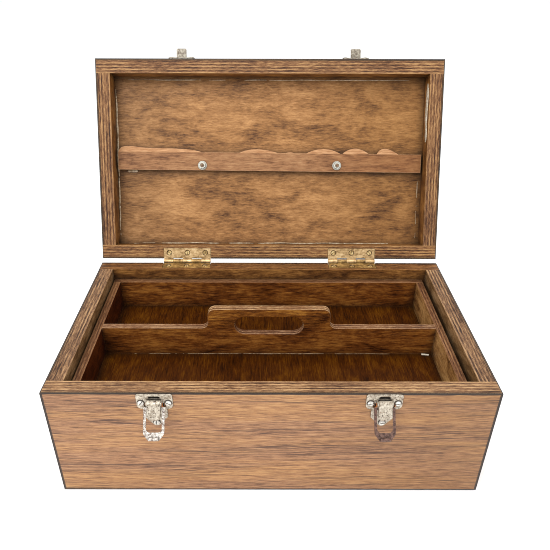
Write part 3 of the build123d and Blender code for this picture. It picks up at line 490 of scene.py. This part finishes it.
# The tray's side walls take lit and shaded copies of one palette: painted shade on the left wall, painted
# light on the right.
TRAY_SHADED = (srgb(24, 4, 0), srgb(60, 20, 2), srgb(92, 44, 10))
TRAY_LIT = (srgb(70, 40, 14), srgb(152, 108, 60), srgb(194, 150, 94))
TRAY_RIM = (srgb(50, 24, 10), srgb(104, 66, 38), srgb(150, 110, 74))
DIVIDER_RIM = (srgb(56, 30, 16), srgb(108, 70, 44), srgb(172, 136, 102))
FLOOR_DARK = (srgb(22, 6, 0), srgb(62, 28, 1), srgb(96, 56, 6))
# The hinge's two leaves take lit and shaded copies of one brass: painted shade on the base's leaf, painted
# light on the lid's.
SHADED_BRASS_TONES = (srgb(84, 60, 28), srgb(146, 114, 64), srgb(196, 164, 104))
LIT_BRASS_TONES = (srgb(120, 92, 54), srgb(190, 156, 108), srgb(226, 196, 148))
# Painted glints: the screws' brass is painted pale and bright for the light they catch.
GLINT_SCREW_BRASS = (srgb(128, 98, 52), srgb(206, 172, 112), srgb(244, 222, 166))

LAMINATE_TONES = [
    (0.05, srgb(68, 43, 31)),
    (0.32, srgb(122, 84, 57)),
    (0.58, srgb(162, 117, 82)),
    (0.92, srgb(188, 144, 103)),
]
GOLDEN = (1.03, 1.0, 0.78, 1.0)
TEAK_LINE = srgb(62, 40, 34)
SKIN_EDGE = srgb(30, 22, 19)
# Painted shadow behind the latch plates' openings.
WINDOW_SHADOW_BLACK = (0.004, 0.003, 0.002, 1.0)
BARE = srgb(194, 149, 108)
DUSTY_BARE = srgb(158, 112, 74)
CREAM = srgb(212, 202, 184)
DULL = srgb(142, 128, 110)
PIT = srgb(74, 54, 40)
RUST = srgb(196, 108, 28)
DARK_RUST = srgb(140, 78, 34)
# Dark rings around screw heads: dirt and painted shade in the crease.
BRASS_DIRT_AND_SHADE = srgb(58, 38, 18)
NICKEL_DIRT_AND_SHADE = srgb(48, 30, 20)

# Radii of the dark rings around screws (dirt and painted shade), and the width of the softened arrises on
# boards, in millimetres.
HINGE_SCREW_RING = 3.3
LATCH_SCREW_RING = 3.5
SOFT_EDGE = 0.5
# The upright part of the surface normal on the strip's bevel.
BEVEL_STEEPNESS = 0.77

# A shade is (axis, where it starts, where it is full, tint), in millimetres.
OUTLINE = (0.10, 0.09, 0.09, 1.0)
# Painted shade: the front laminate, the lid's panel and the strip darken toward the box's right, and the
# panel also toward its far left, where less light falls.
FRONT_PAINTED_SHADE = [(X, 20, 200, (0.80, 0.78, 0.74, 1.0))]
PANEL_PAINTED_SHADE = [(X, 30, 170, (0.80, 0.77, 0.66, 1.0)), (X, -90, -190, (0.86, 0.88, 0.92, 1.0))]
STRIP_PAINTED_SHADE = [(X, 20, 180, (0.78, 0.68, 0.55, 1.0))]


def dark_outline(name, closed, ply_axis):
    """The outermost ply, stained nearly black beside the laminate's edge."""
    low, high = (corner[ply_axis] for corner in node_box(name, closed))
    outside = low if abs(low) > abs(high) else high
    inward = math.copysign(1, -outside)
    return [(ply_axis, outside + 2.0 * inward, outside + 0.8 * inward, OUTLINE)]


# ------------------------------------------------------------------ wooden nodes
BASE_WALLS = {
    "base_front_wall": (Y, X, INNER, RIM),
    "base_back_wall": (Y, X, INNER, BACK_RIM),
    "base_left_wall": (X, Y, OLIVE, SIDE_RIM),
    "base_right_wall": (X, Y, OLIVE, SIDE_RIM),
}
for seed, (name, (ply_axis, grain_axis, face, edge)) in enumerate(BASE_WALLS.items()):
    shades = dark_outline(name, False, ply_axis)
    dress(name, plywood(name, False, ply_axis, grain_axis, seed, face, edge, shades=shades), SOFT_EDGE)
dress("base_bottom_panel", plywood("base_bottom_panel", False, Z, X, 4, INNER, RIM), SOFT_EDGE)

LID_RAILS = {
    "lid_front_rail": (Y, X, LID_RIM),
    "lid_back_rail": (Y, X, LOW_RIM),
    "lid_left_rail": (X, Y, LID_RIM),
    "lid_right_rail": (X, Y, LID_RIM),
}
for seed, (name, (ply_axis, grain_axis, edge)) in enumerate(LID_RAILS.items()):
    shades = dark_outline(name, True, ply_axis)
    dress(name, plywood(name, True, ply_axis, grain_axis, 11 + seed, INNER, edge, shades=shades), SOFT_EDGE)
panel_wood = plywood("lid_panel", True, Z, X, 21, PANEL, LID_RIM, plies=7, wear=0.0, rough=0.42,
                     shades=PANEL_PAINTED_SHADE, streaks=0.7, mottle=0.85, reach=6.0)
dress("lid_panel", panel_wood)
dress("lid_strip", strip_wood("lid_strip_wood", 23))

grip_top = node_box("tray_divider", False)[1].z
# Painted light: the divider's grip, which rises above the tray's walls, is painted lighter than the part
# below.
GRIP_PAINTED_LIGHT = [(Z, grip_top - 30, grip_top - 18, (1.35, 1.5, 1.4, 1.0))]
TRAY_BOARDS = {
    "tray_front_wall": (Y, X, TRAY_DARK, TRAY_RIM, ()),
    "tray_back_wall": (Y, X, TRAY_DARK, TRAY_RIM, ()),
    # Painted shade on the left wall and painted light on the right wall, through their palettes.
    "tray_left_wall": (X, Y, TRAY_SHADED, TRAY_RIM, ()),
    "tray_right_wall": (X, Y, TRAY_LIT, TRAY_RIM, ()),
    "tray_divider": (Y, X, TRAY_DARK, DIVIDER_RIM, GRIP_PAINTED_LIGHT),
    "tray_cleats": (Z, Y, TRAY_DARK, TRAY_RIM, ()),
}
for seed, (name, (ply_axis, grain_axis, face, edge, shades)) in enumerate(TRAY_BOARDS.items()):
    wood = plywood(name, False, ply_axis, grain_axis, 31 + seed, face, edge, plies=5, wear=0.5, rough=0.45,
                   shades=shades)
    dress(name, wood, SOFT_EDGE)
floor_wood = plywood("tray_floor", False, Z, Y, 41, FLOOR_DARK, TRAY_RIM, plies=3, wear=0.0, shine=0.06,
                     streaks=0.8, mottle=0.6, reach=14.0)
dress("tray_floor", floor_wood)


def plate_window_shadow(side):
    """The space behind the opening at the top of a latch plate, where the laminate gets painted shadow."""
    low, high = node_box("latch_plate_" + side, False)
    middle = (low.x + high.x) / 2
    return Vector((middle - 9, low.y - 1, high.z - 18)), Vector((middle + 9, high.y + 1, high.z - 1))


# The front laminate gets painted shade toward its right and painted shadow behind the latch plates'
# openings.
FRONT_LOOK = {"shades": FRONT_PAINTED_SHADE, "shadow_windows": [plate_window_shadow("left"), plate_window_shadow("right")]}
SKINS = {"front": (Y, X), "back": (Y, X), "left": (X, Y), "right": (X, Y)}
for seed, (side, (skin_axis, grain_axis)) in enumerate(SKINS.items()):
    name = "base_laminate_" + side
    look = FRONT_LOOK if side == "front" else {}
    dress(name, laminate(name, False, skin_axis, grain_axis, 51 + seed, **look))
    name = "lid_laminate_" + side
    dress(name, laminate(name, True, skin_axis, grain_axis, 61 + seed))
dress("lid_laminate_top", laminate("lid_laminate_top", True, Z, X, 71))


# ------------------------------------------------------------------ metal nodes
lid_screws = solid_centres("hinge_lid_screws", True)
base_screws = solid_centres("hinge_base_screws", False)
# Painted light and shade: the lid's hinge parts get the lit brass, the base's parts the shaded brass.
shaded_brass = brass("shaded_brass", SHADED_BRASS_TONES, False, base_screws)
lit_brass = brass("lit_brass", LIT_BRASS_TONES, True, lid_screws)
for name in nodes:
    if name.startswith("hinge_lid"):
        dress(name, lit_brass)
    elif name.startswith("hinge"):
        dress(name, shaded_brass)
# Painted glints: the hinge screws get the bright screw brass.
dress("hinge_lid_screws", brass("screw_brass_lid", GLINT_SCREW_BRASS, True, lid_screws))
dress("hinge_base_screws", brass("screw_brass_base", GLINT_SCREW_BRASS, False, base_screws))

# Rust has bled out beside three of the ear screws: one on the left latch and both on the right one.
ear_screws = solid_centres("latch_plate_screws", False)
RUSTY_EARS = ((2, -5.5), (3, 5.5), (5, -4.5))
rusty_holes = [ear_screws[index] + Vector((aside, 0, -3)) for index, aside in RUSTY_EARS]
latch_nickel = nickel("latch_nickel", CREAM, DULL, 0.2, pitted=0.9, screws=ear_screws, stains=rusty_holes)
lever_nickel = nickel("lever_nickel", CREAM, DULL, 0.0, scale=0.75, pitted=1.0)
keeper_nickel = nickel("keeper_nickel", srgb(166, 158, 142), srgb(104, 92, 78), 0.2, closed=True)
screw_nickel = nickel("screw_nickel", srgb(240, 238, 230), srgb(196, 190, 180), -0.4, pitted=0.3,
                      screws=ear_screws)
# Painted reflections: the left bail's nickel is painted near-white between dark pits, standing for chrome
# reflections on its rolled bar.
glinting_nickel = nickel("bail_painted_glints", srgb(236, 230, 220), srgb(92, 66, 54), 0.1, scale=1.5, pitted=1.0)
rusty_nickel = nickel("bail_rusty", srgb(126, 96, 84), srgb(56, 36, 32), 0.4, scale=1.2, pitted=1.0)
bolt_rust = nickel("bolt_rust", srgb(150, 124, 96), srgb(86, 62, 44), 0.5, closed=True, scale=1.4)
zinc = plated_steel("zinc", True)
METALS = {
    latch_nickel: ("latch_plate_left", "latch_plate_right"),
    lever_nickel: ("latch_lever_left", "latch_lever_right", "latch_rivets"),
    keeper_nickel: ("keeper_left", "keeper_right", "keeper_screws"),
    screw_nickel: ("latch_plate_screws",),
    glinting_nickel: ("latch_bail_left",),
    rusty_nickel: ("latch_bail_right",),
    bolt_rust: ("handle_bolts",),
    zinc: ("handle_washers", "handle_nuts", "carry_handle"),
}
for metal, names in METALS.items():
    for name in names:
        dress(name, metal)


# ------------------------------------------------------------------ glue squeezed out of the joints
BEAD_STEP = 1.5
# Across a bead: (distance from its middle, height), as parts of its half width and its lift.
BEAD_SECTION = ((-1, -0.15), (-0.6, 0.7), (0, 1.0), (0.6, 0.7), (1, -0.15))


def glue_material(name, light, dark):
    shader = Shader(name)
    position = position_of(shader, False)
    cloud = shader.noise(position, 0.35, 4.0, 0.6)
    colour = shader.ramp(cloud, [(0.35, dark), (0.65, light)])
    shader.bump(shader.noise(position, 0.9, 4.0, 0.6), 0.4, 0.4 * MM)
    return shader.finish(colour, shader.math("MULTIPLY_ADD", cloud, 0.2, 0.3))


def bead_runs(start, end, width, lift, up, seed, gaps):
    """Cross-sections of a low ridge of glue whose width comes and goes; each gap starts a new run."""
    across = (end - start).normalized().cross(up)
    count = max(3, int((end - start).length / BEAD_STEP))
    runs = [[]]
    for index in range(count + 1):
        t = index / count
        reach = t * count * BEAD_STEP
        slow = noise.noise(Vector((reach / 22, seed * 3.7, 0)))
        fine = noise.noise(Vector((reach / 4, seed * 9.1, 5)))
        half = width * max(0.0, min(1.0, slow + 1 - gaps + 0.35 * fine)) / 2
        half *= min(1.0, 6 * t, 6 * (1 - t))
        if half < 0.12 * width:
            runs.append([])
            continue
        wander = 0.5 * width * noise.noise(Vector((reach / 30, seed, 9)))
        middle = start + (end - start) * t + across * wander
        section = []
        for side, rise in BEAD_SECTION:
            section.append(middle + across * (side * half) + up * (rise * lift * (0.6 + half / width)))
        runs[-1].append(section)
    return [run for run in runs if run]


def glue_bead(name, body, start, end, width, lift, material, seed, gaps=0.35, up=None):
    """A broken bead of glue between two points on a board; each run of it starts with a flat end."""
    in_lid = body == "lid"
    up = Vector(up or ((0, 0, -1) if in_lid else (0, 0, 1)))
    mesh = bmesh.new()
    for run in bead_runs(Vector(start), Vector(end), width, lift, up, seed, gaps):
        last = None
        for section in run:
            points = [lid_to_open(point) if in_lid else point * MM for point in section]
            ring = [mesh.verts.new(point) for point in points]
            if last is None:
                mesh.faces.new(ring)
            else:
                for first in range(len(ring)):
                    second = (first + 1) % len(ring)
                    mesh.faces.new((last[first], last[second], ring[second], ring[first]))
            last = ring
    bmesh.ops.recalc_face_normals(mesh, faces=mesh.faces)
    for face in mesh.faces:
        face.smooth = True
    data = bpy.data.meshes.new(name)
    mesh.to_mesh(data)
    mesh.free()
    data.materials.append(material)
    bead = bpy.data.objects.new(name, data)
    bpy.context.scene.collection.objects.link(bead)
    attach(bead, body)


OLD_GLUE = glue_material("old_glue", srgb(206, 188, 160), srgb(150, 122, 88))
STAINED_GLUE = glue_material("stained_glue", srgb(166, 138, 104), srgb(96, 66, 36))
GREY_FILLER = glue_material("grey_filler", srgb(214, 206, 190), srgb(160, 144, 118))

# Around the lid's panel the glue lies at the rails on two sides and a little way in on the other two.
low, high = node_box("lid_panel", True)
panel = low.z
left, right, near, far = low.x + 0.8, high.x - 4.5, low.y + 3.5, high.y - 0.8
PERIMETER = {
    "glue_front": ((left, near, panel), (right, near, panel), 1.5),
    "glue_back": ((left, far, panel), (right, far, panel), 2.0),
    "glue_left": ((left + 0.6, near, panel), (left + 0.6, far, panel), 3.0),
    "glue_right": ((right, 19, panel), (right, far, panel), 1.6),
}
for seed, (name, (start, end, width)) in enumerate(PERIMETER.items()):
    glue_bead(name, "lid", start, end, width, 0.5, OLD_GLUE, seed + 2)

# The grey filler covers the upper right rail's inner face; more glue shows in the corner opposite.
start, end = (high.x, low.y + 6, panel - 16), (high.x, low.y + 92, panel - 16)
glue_bead("filler_right", "lid", start, end, 12.0, 0.8, GREY_FILLER, 12, 0.0, up=(-1, 0, 0))
start, end = (low.x + 1.5, 18, panel), (low.x + 1.5, 74, panel)
glue_bead("filler_left", "lid", start, end, 2.2, 1.0, OLD_GLUE, 15, 0.1)

# Two short beads lie under the strip, toward its ends.
under = node_box("lid_strip", True)[1].y
start, end = (95, under - 1.6, panel), (190, under - 0.2, panel)
glue_bead("glue_strip_right", "lid", start, end, 1.3, 0.6, OLD_GLUE, 21, 0.2)
start, end = (-197, under - 1.6, panel), (-180, under - 1.8, panel)
glue_bead("glue_strip_left", "lid", start, end, 4.0, 1.4, OLD_GLUE, 24, 0.0)

# In the tray, glue lies along the front of the divider, with a lump in the right corner.
low, high = node_box("tray_divider", False)
bed = node_box("tray_floor", False)[1].z
joint = low.y - 0.5
start, end = (low.x + 3, joint, bed), (high.x - 3, joint, bed)
glue_bead("glue_divider", "tray", start, end, 1.1, 0.7, STAINED_GLUE, 31, 0.5)
start, end = (high.x - 14, joint - 0.4, bed), (high.x - 2, joint - 2, bed)
glue_bead("glue_corner", "tray", start, end, 3.0, 1.2, GREY_FILLER, 35, 0.0)


# ------------------------------------------------------------------ floor, light and camera
def paint_floor():
    """Pale floor with a faint glow, so that it fades into the white surroundings."""
    shader = Shader("pale_floor")
    speckle = shader.noise(position_of(shader, False), 0.02, 3.0)
    colour = shader.ramp(speckle, [(0.0, (0.92, 0.92, 0.92, 1)), (1.0, (0.96, 0.96, 0.96, 1))])
    shader.surface.inputs["Emission Color"].default_value = (1.0, 1.0, 1.0, 1.0)
    shader.surface.inputs["Emission Strength"].default_value = 0.06
    return shader.finish(colour, 0.9)


def add_floor():
    half = 6.0
    mesh = bpy.data.meshes.new("floor")
    corners = [(-half, -half, 0), (half, -half, 0), (half, half, 0), (-half, half, 0)]
    mesh.from_pydata(corners, [], [(0, 1, 2, 3)])
    floor = bpy.data.objects.new("floor", mesh)
    floor.data.materials.append(paint_floor())
    bpy.context.scene.collection.objects.link(floor)


def add_area_light(name, place, target, size, power):
    data = bpy.data.lights.new(name, "AREA")
    data.shape = "RECTANGLE"
    data.size, data.size_y = size
    data.energy = power
    lamp = bpy.data.objects.new(name, data)
    lamp.location = place
    lamp.rotation_euler = (Vector(target) - Vector(place)).to_track_quat("-Z", "Y").to_euler()
    bpy.context.scene.collection.objects.link(lamp)


def add_camera():
    """The camera stands above and in front of the box, looking down over the front rim."""
    data = bpy.data.cameras.new("camera")
    data.sensor_width = 36.0
    data.lens = 37.885
    data.shift_x = 0.0205
    data.shift_y = 0.0187
    camera = bpy.data.objects.new("camera", data)
    yaw = Matrix.Rotation(math.radians(-0.055), 4, "Z")
    pitch = Matrix.Rotation(math.radians(90 - 31.627), 4, "X")
    roll = Matrix.Rotation(math.radians(0.156), 4, "Z")
    camera.matrix_world = Matrix.Translation((-0.0082, -0.5575, 0.5292)) @ yaw @ pitch @ roll
    bpy.context.scene.collection.objects.link(camera)
    bpy.context.scene.camera = camera


def add_world():
    """White surroundings that light the box evenly."""
    world = bpy.data.worlds.new("studio")
    world.use_nodes = True
    background = world.node_tree.nodes["Background"]
    background.inputs["Color"].default_value = (1.0, 1.0, 1.0, 1.0)
    background.inputs["Strength"].default_value = 1.0
    bpy.context.scene.world = world


add_floor()
add_world()
centre = (0.0, 0.05, 0.15)
add_area_light("key", (-0.6, -0.9, 1.7), centre, (1.2, 1.2), 22)
add_area_light("top", (0.2, 0.2, 1.9), centre, (1.6, 1.6), 12)
add_camera()
bpy.context.scene.view_settings.view_transform = "Standard"
bpy.context.scene.cycles.filter_width = 1.0
